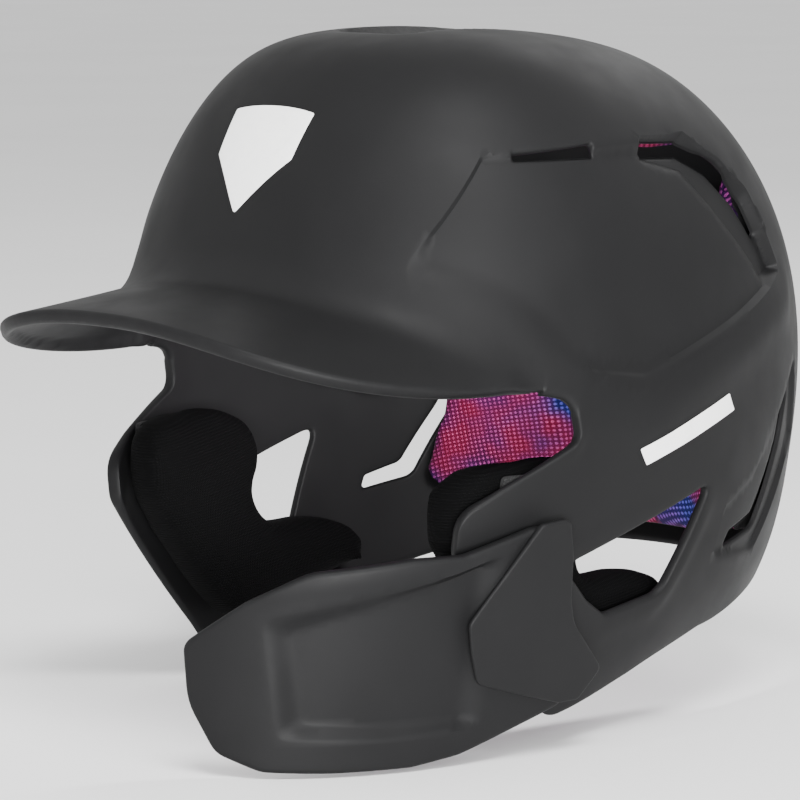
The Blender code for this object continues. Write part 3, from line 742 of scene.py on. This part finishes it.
def half_relief(points):
    """How far the moulding stands out of the plain surface, for points of the left half."""
    surface = outside(points[:, 0], points[:, 1])
    ahead, up = surface[:, 1], surface[:, 2]
    on_left = ease((points[:, 0] - 30.0) / 20.0)
    sunk = depth(points, panel)
    at_back = ease((42.0 - ahead) / 90.0)
    at_top = ease((up - 45.0) / 25.0)
    low_front = ease((ahead - 12.0) / 40.0) * ease((62.0 - up) / 25.0)
    width = 1.5 + 4.0 * at_back * at_top + 22.0 * low_front
    deep = 1.1 + 1.7 * at_back * at_top + 0.7 * (1.0 - at_top)
    out = -deep * ease(sunk / width) * on_left
    band = np.exp(-(((sunk + 8.0) / 7.5) ** 2)) * ease((50.0 - up) / 30.0) * ease((30.0 - ahead) / 40.0)
    out += 1.7 * band * on_left
    out -= 1.9 * ease(depth(points, scoop) / 1.8) * on_left
    out -= 1.5 * ease(depth(points, rear_facet) / 2.2) * on_left
    low = ease((-up - 20.0) / 20.0) * ease((ahead + 60.0) / 20.0)
    out += 0.5 * low * np.exp(-(((depth(points, window) + 5.0) / 4.0) ** 2))
    return out


def relief(points):
    points = np.asarray(points, float)
    halved = np.stack([np.abs(points[:, 0]), points[:, 1]], -1)
    out = half_relief(halved)
    out -= 3.0 * ease(depth(points, TROUGH) / 4.0)
    to_hem = to_path(points, hem)
    run, turn = np.hypot(points[:, 0], points[:, 1]), np.arctan2(points[:, 0], points[:, 1])
    lip = ease((np.abs(np.degrees(turn)) - 52.0) / 8.0) * ease((96.0 - np.abs(np.degrees(turn))) / 8.0)
    out += 1.0 * lip * ease((9.0 - to_hem) / 8.0) * ease((214.0 - run) / 16.0)
    return out


def shell_back(points):
    """The inside: plain, except that it makes room for the deep recesses and the brim's rolled rim."""
    run, turn = np.hypot(points[:, 0], points[:, 1]), np.arctan2(points[:, 0], points[:, 1])
    width = brim_width(turn)
    to_rim = brim_root(turn) + width - run
    ahead_of_temple = ease((72.0 - np.abs(np.degrees(turn))) / 8.0)
    rolled = ease((width - 4.0) / 6.0) * ease((5.5 - to_rim) / 3.0) * ahead_of_temple
    return np.minimum(relief(points) + 1.5, 0.0) - SHELL - 1.3 * rolled


holes = [side_outline(hole, FINE_EDGE * 0.7) for hole in (WINDOW, LIMB_SLOT, FRONT_VENT, REAR_VENT)]
crease_lines = []
for outline, widths in ((panel, (0.0, 0.75, 1.5)), (scoop, (0.9, 1.8)), (rear_facet, (0.0, 1.1, 2.2))):
    for width in widths:
        ring = inset(outline, width)
        crease_lines.append(ring[nearest_rim(ring, [outline]) > 0.8 * width - 0.01])
crease_lines += [mirrored(line) for line in crease_lines]
shell_loops = [hem] + holes + [mirrored(hole) for hole in holes]
outer_shell = skin(
    "shell_moulding",
    charcoal,
    shell_off,
    shell_loops,
    relief,
    shell_back,
    creases=crease_lines,
)
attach(outer_shell, "shell")
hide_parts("outer_shell")

# ---------------------------------------------------------------- jaw guard and cover
GUARD_OUTLINE = [
    (32.5, -62, 5),
    (52.7, -48, 15),
    (72, -38.5, 20),
    (104, -35.3, 20),
    (121, -35.3, 10),
    (145, -29, 4),
    (156, -28.5, 4),
    (158.5, -52, 20),
    (162, -62, 12),
    (174, -76, 5),
    (167, -88, 8),
    (146, -94, 20),
    (128, -99.5, 20),
    (111, -101.8, 15),
    (85, -101.8, 20),
    (62, -101.0, 15),
    (46, -95.5, 10),
    (35, -80, 20),
]
COVER_OUTLINE = [
    (146, -26.8, 3),
    (157, -25.5, 4),
    (160.3, -38, 20),
    (161.5, -52, 20),
    (164, -60, 12),
    (170.6, -67, 15),
    (179.5, -76.5, 3),
    (171, -86, 3),
    (163, -86, 5),
    (130, -76.5, 5),
    (126, -65, 3),
    (124, -56.5, 4),
    (133, -44.5, 5),
]
# The guard's face is sunk inside this outline, with a bevel that is broad at the front and foot.
FACE = [(58, -52.5, 5), (118, -40.5, 3), (150, -31, 3), (158, -90, 3), (102, -92, 10), (66, -91, 5)]
FACE_FLOOR = [
    (68.5, -57, 3),
    (120, -42.5, 2),
    (150, -33, 2),
    (156, -88, 2),
    (104, -88.5, 8),
    (74, -85.5, 3),
]
face = np.array(rounded(FACE, 2.0))
face_floor = np.array(rounded(FACE_FLOOR, 2.0))
FACE_DEPTH = 3.0


def guard_relief(points):
    to_floor = np.maximum(-depth(points, face_floor), 0.0)
    from_rim = np.maximum(depth(points, face), 0.0)
    share = from_rim / np.maximum(from_rim + to_floor, 1e-6)
    under_cover = ease((points[:, 0] - 126.0) / 10.0)
    crest = 0.9 * np.exp(-((points[:, 1] + 44.0 - 0.10 * (points[:, 0] - 60.0)) / 3.5) ** 2)
    crest = crest * ease((points[:, 0] - 50.0) / 12.0) * ease((118.0 - points[:, 0]) / 10.0) * 0.5
    return (-FACE_DEPTH * ease(share) + crest) * (1.0 - under_cover)


def guard_back(points):
    return np.minimum(guard_relief(points) + 2.4, 0.0) - GUARD


guard_creases = [face, face_floor, inset(face, 1.2), inset(face_floor, -1.2)]
BORE = 5.3  # radius round each screw
bore_loops = []
for place in ((152.0, -37.0), (139.0, -61.0), (158.0, -73.0)):
    ring = [
        (place[0] + BORE * math.cos(a), place[1] + BORE * math.sin(a))
        for a in np.linspace(0, 2 * math.pi, 33)[:-1]
    ]
    bore_loops.append(np.array(ring))
jaw_guard = skin(
    "guard_moulding",
    guard_plastic,
    guard_off,
    [rounded(GUARD_OUTLINE)] + bore_loops,
    guard_relief,
    guard_back,
    step=2.0,
    creases=guard_creases,
)
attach(jaw_guard, "jaw_guard")
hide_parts("jaw_guard")


def cover_relief(points):
    """Low at its front edge and proud at the back, in two facets that meet along a faint ridge."""
    ridge = -56.5 - 0.13 * (points[:, 0] - 124.0)
    height = points[:, 1] - ridge
    facet = -0.030 * np.maximum(height - 0.5, 0.0) - 0.022 * np.maximum(-height - 0.5, 0.0)
    return GAP + 1.6 + 1.7 * ease((points[:, 0] - 128.0) / 24.0) + np.maximum(facet, -0.8)


def cover_back(points):
    """The underside touches the guard along its rim and is hollow over the screw heads."""
    return GAP + 0.7 * ease((depth(points, cover_loop) - 2.0) / 2.0)


cover_loop = np.array(rounded(COVER_OUTLINE, 1.4))
cover_plate = skin(
    "cover_moulding",
    guard_plastic,
    guard_off,
    [cover_loop],
    cover_relief,
    cover_back,
    step=1.8,
    roll=0.7,
)
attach(cover_plate, "cover_plate")
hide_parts("cover_plate")


# ---------------------------------------------------------------- padding
SIM_STEPS = 20
HEAD_RADIUS = 115.0  # the fabric print is laid out on a ball of this size


def evaluated_copy(obj):
    graph = bpy.context.evaluated_depsgraph_get()
    return bpy.data.meshes.new_from_object(obj.evaluated_get(graph), depsgraph=graph)


def coordinates(mesh):
    co = np.empty(len(mesh.vertices) * 3)
    mesh.vertices.foreach_get("co", co)
    return co.reshape(-1, 3)


def inflated(name, node_name, material, voxel, swell, fill, cap, soften=4):
    """A stuffed pad from a CAD solid: remeshed, swollen by a cloth simulation, then smoothed."""
    source = frame["nodes"][node_name]
    mesh = source.data.copy()
    bm = bmesh.new()
    bm.from_mesh(mesh)
    bmesh.ops.remove_doubles(bm, verts=bm.verts, dist=1e-5)
    bm.to_mesh(mesh)
    bm.free()
    pad = bpy.data.objects.new(name, mesh)
    bpy.context.collection.objects.link(pad)
    remesh = pad.modifiers.new("remesh", "REMESH")
    remesh.mode = "VOXEL"
    remesh.voxel_size = voxel
    shrink = pad.modifiers.new("shrink", "DISPLACE")
    shrink.mid_level = 0.0
    shrink.strength = -swell
    pad.data = evaluated_copy(pad)
    pad.modifiers.clear()
    before = coordinates(pad.data)
    cloth = pad.modifiers.new("swell", "CLOTH")
    settings = cloth.settings
    settings.quality = 4
    settings.mass = 0.3
    settings.tension_stiffness = 12
    settings.compression_stiffness = 12
    settings.shear_stiffness = 5
    settings.bending_stiffness = 0.4
    settings.use_pressure = True
    settings.uniform_pressure_force = fill
    settings.effector_weights.gravity = 0
    cloth.point_cache.frame_start = 1
    cloth.point_cache.frame_end = SIM_STEPS
    for step in range(1, SIM_STEPS + 1):
        bpy.context.scene.frame_set(step)
    swollen = evaluated_copy(pad)
    after = coordinates(swollen)
    bpy.context.scene.frame_set(1)
    pad.modifiers.clear()
    moved = after - before
    outwards = before - world((0.0, -12.0, 10.0))
    outwards /= np.linalg.norm(outwards, axis=1, keepdims=True)
    moved -= outwards * np.maximum((moved * outwards).sum(1), 0.0)[:, None]
    length = np.linalg.norm(moved, axis=1, keepdims=True)
    before = before + moved * np.minimum(1.0, cap / np.maximum(length, 1e-9))
    pad.data.vertices.foreach_set("co", before.ravel())
    smooth = pad.modifiers.new("smooth", "SMOOTH")
    smooth.factor = 0.5
    smooth.iterations = soften
    finer = pad.modifiers.new("finer", "SUBSURF")
    finer.levels = 1
    finer.render_levels = 1
    pad.data = evaluated_copy(pad)
    pad.modifiers.clear()
    pad.data.name = name
    pad.data.materials.clear()
    pad.data.materials.append(material)
    pad.data.shade_smooth()
    return pad


def move_points(piece, points):
    """Gives the mesh these places, in the head frame."""
    piece.data.vertices.foreach_set("co", world(points).ravel())
    piece.data.update()


def lay_fabric(piece, coords):
    layer = piece.data.attributes.new("fabric", "FLOAT_VECTOR", "POINT")
    layer.data.foreach_set("vector", np.asarray(coords, float).ravel())


def back_with_foam(pad, turned_in):
    """Dark foam on the faces that look towards the shell, and on the edges up to turned_in."""
    pad.data.materials.append(backing)
    faces = pad.data.polygons
    normals = np.empty(len(faces) * 3)
    faces.foreach_get("normal", normals)
    centres = np.empty(len(faces) * 3)
    faces.foreach_get("center", centres)
    outwards = centres.reshape(-1, 3) - world((0.0, -12.0, 10.0))
    outwards /= np.linalg.norm(outwards, axis=1, keepdims=True)
    looks_out = (normals.reshape(-1, 3) * outwards).sum(1)
    faces.foreach_set("material_index", (looks_out > turned_in).astype(np.int32))


def ball_coords(points, tilt=0.6):
    """Millimetres round and down a ball in the head, so the print keeps its size on every pad."""
    turn = np.arctan2(points[:, 0], points[:, 1] + 12.0)
    flat = np.hypot(points[:, 0], points[:, 1] + 12.0)
    lean = np.arctan2(flat, points[:, 2] + 5.0)
    round_, down = turn * HEAD_RADIUS * 0.9, lean * HEAD_RADIUS
    c, s = math.cos(tilt), math.sin(tilt)
    return np.stack([c * round_ - s * down, s * round_ + c * down, np.linalg.norm(points, axis=1)], -1)


def channels(points, turns, runs, radius_depth):
    """Sewn channels: how deep each point lies in one, for lines of equal turn and equal lean."""
    turn = np.degrees(np.arctan2(points[:, 0], points[:, 1] + 12.0))
    lean = np.degrees(np.arctan2(np.hypot(points[:, 0], points[:, 1] + 12.0), points[:, 2] + 5.0))
    groove = np.zeros(len(points))
    for line in turns:
        gap = (turn - line + 180.0) % 360.0 - 180.0
        groove = np.maximum(groove, np.exp(-((gap / 2.2) ** 2)))
    for line in runs:
        groove = np.maximum(groove, np.exp(-(((lean - line) / 2.0) ** 2)))
    return groove * radius_depth


# Sewn channels on each liner pad, as turns from ahead in degrees.
LINER = {"front": (-14, 14), "left_side": (84,), "right_side": (-84,), "rear": (160, 200)}
PAD_RISE = 13.0  # how far the foot of the right side pad rises (mm)
PAD_RISE_BACK = 42.0  # it starts to rise this far behind the middle
PAD_RISE_LENGTH = 40.0  # and has risen fully this much further forward
PAD_RISE_TOP = 36.0  # nothing above this height moves
for where, lines in LINER.items():
    pad = inflated(where + "_pad_cover", where + "_pad", liner, 0.0042, 0.0012, 4.0, 0.006)
    points = head(coordinates(pad.data))
    centre = np.array([0.0, -12.0, 10.0])
    inwards = centre - points
    inwards /= np.linalg.norm(inwards, axis=1, keepdims=True)
    away = np.linalg.norm(points - centre, axis=1)
    facing = ease((away.max() - away) / 14.0)
    groove = channels(points, lines, (), 3.0) * facing
    points = points - inwards * groove[:, None]
    if where == "right_side":
        # The foot of this pad rises towards the front, out of sight behind the brim.
        at_front = ease((points[:, 1] + PAD_RISE_BACK) / PAD_RISE_LENGTH)
        rise = at_front * ease((PAD_RISE_TOP - points[:, 2]) / 30.0)
        points[:, 2] += PAD_RISE * rise
    move_points(pad, points)
    lay_fabric(pad, ball_coords(points))
    back_with_foam(pad, 0.1)
    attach(pad, "shell")
    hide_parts(where + "_pad")

crown = inflated("crown_pad_cover", "crown_pad", liner, 0.0042, 0.0012, 4.0, 0.006)
points = head(coordinates(crown.data))
lay_fabric(crown, np.stack([points[:, 0], points[:, 1], points[:, 2]], -1))
back_with_foam(crown, -0.3)
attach(crown, "shell")
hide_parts("crown_pad")

for side in ("left", "right"):
    pad = inflated(side + "_ear_pad_cover", side + "_ear_pad", ear_mesh, 0.0036, -0.0004, 4.5, 0.006, 16)
    points = head(coordinates(pad.data))
    across = points[:, 1] + points[:, 0] * 0.2
    down = points[:, 2] + 0.12 * points[:, 1]
    lay_fabric(pad, np.stack([across, down, points[:, 0]], -1))
    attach(pad, "shell")
    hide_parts(side + "_ear_pad")

guard_pad = inflated("guard_pad_foam", "jaw_guard_pad", guard_foam, 0.003, 0.0006, 2.0, 0.002)
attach(guard_pad, "jaw_guard")
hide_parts("jaw_guard_pad")

# ---------------------------------------------------------------- generic marks
MARK = 0.35
PLATE_MARK = [(-22, 118, 1), (22, 118, 1), (22, 136, 1), (0, 156, 1), (-22, 136, 1)]
SIDE_MARK = [(-8, -13.8, 0.6), (-54, -0.8, 0.6), (-50, 5, 0.6), (-4, -8.2, 0.6)]
side_mark = side_outline(SIDE_MARK)
marks = {"front_mark": rounded(PLATE_MARK), "left_mark": side_mark, "right_mark": mirrored(side_mark)}
for name, loop in marks.items():
    decal = skin(
        name + "_decal",
        white,
        shell_off,
        [loop],
        lambda points: relief(points) + 0.15 + MARK,
        lambda points: relief(points) + 0.15,
        step=2.4,
        roll=0.12,
    )
    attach(decal, "shell")
    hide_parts(name)

# ---------------------------------------------------------------- carried-over CAD pieces
for name, obj in frame["nodes"].items():
    if name.endswith("_tape"):
        obj.data.materials.clear()
        obj.data.materials.append(hook_and_loop)
    if name.startswith(("guard_screw", "washer", "tee_nut")):
        obj.data.materials.clear()
        obj.data.materials.append(steel)

# ---------------------------------------------------------------- floor, light, camera
CAMERA_TURN = math.radians(46.0)
CAMERA_RISE = math.radians(7.3)
CAMERA_AWAY = 1.3
LENS = 176.7
SENSOR = 36.0


def area_light(name, place, target, size, power_watts, colour=(1.0, 1.0, 1.0)):
    light = bpy.data.lights.new(name, "AREA")
    light.shape = "RECTANGLE"
    light.size, light.size_y = size
    light.energy = power_watts
    light.color = colour
    lamp = bpy.data.objects.new(name, light)
    bpy.context.collection.objects.link(lamp)
    lamp.location = place
    lamp.rotation_euler = (Vector(target) - Vector(place)).to_track_quat("-Z", "Y").to_euler()
    return lamp


def plain_floor():
    bm = bmesh.new()
    bmesh.ops.create_circle(bm, cap_ends=True, segments=96, radius=20.0)
    mesh = bpy.data.meshes.new("studio_floor")
    bm.to_mesh(mesh)
    bm.free()
    material, tree, shader = new_material("pale_floor", (0.86, 0.86, 0.86), 0.7)
    coords = object_coords(tree)
    tone = span(tree, noise(tree, coords, 3.0, 2.0), 0.3, 0.7, 0.0, 1.0)
    tree.links.new(mix(tree, tone, (0.85, 0.85, 0.85), (0.88, 0.88, 0.88)), shader.inputs["Base Color"])
    mesh.materials.append(material)
    floor = bpy.data.objects.new("studio_floor", mesh)
    bpy.context.collection.objects.link(floor)
    floor.location.z = -0.0005


plain_floor()
aim = Vector(world((0.0, 0.0, 0.0)))
direction = Vector(
    (
        math.sin(CAMERA_TURN) * math.cos(CAMERA_RISE),
        -math.cos(CAMERA_TURN) * math.cos(CAMERA_RISE),
        math.sin(CAMERA_RISE),
    )
)
lens = bpy.data.cameras.new("camera")
lens.lens = LENS
lens.sensor_width = SENSOR
lens.shift_x = -0.0124
lens.shift_y = -0.0061
camera = bpy.data.objects.new("camera", lens)
bpy.context.collection.objects.link(camera)
camera.location = aim + direction * CAMERA_AWAY
camera.rotation_euler = (-direction).to_track_quat("-Z", "Y").to_euler()
bpy.context.scene.camera = camera

middle = Vector((0.0, 0.0, 0.11))
area_light("key", (0.7, -0.5, 1.5), middle, (0.7, 0.7), 34.0)
area_light("side_fill", (1.4, -0.3, 0.9), middle, (0.9, 0.9), 8.0)
area_light("front_fill", (0.95, -0.8, 0.1), middle, (0.5, 0.3), 45.0)
area_light("far_fill", (-1.2, -0.8, 0.9), middle, (1.0, 1.0), 2.0)
area_light("back_rim", (-0.3, 1.4, 1.2), middle, (1.2, 0.7), 8.0)
inside_fill = area_light("inside_fill", (0.06, -0.005, 0.15), (-0.1, 0.0, 0.1), (0.06, 0.06), 0.55)
inside_fill.visible_camera = False
world_light = bpy.data.worlds.new("studio")
world_light.use_nodes = True
world_light.node_tree.nodes["Background"].inputs["Color"].default_value = (1.0, 1.0, 1.0, 1.0)
world_light.node_tree.nodes["Background"].inputs["Strength"].default_value = 1.0
bpy.context.scene.world = world_light
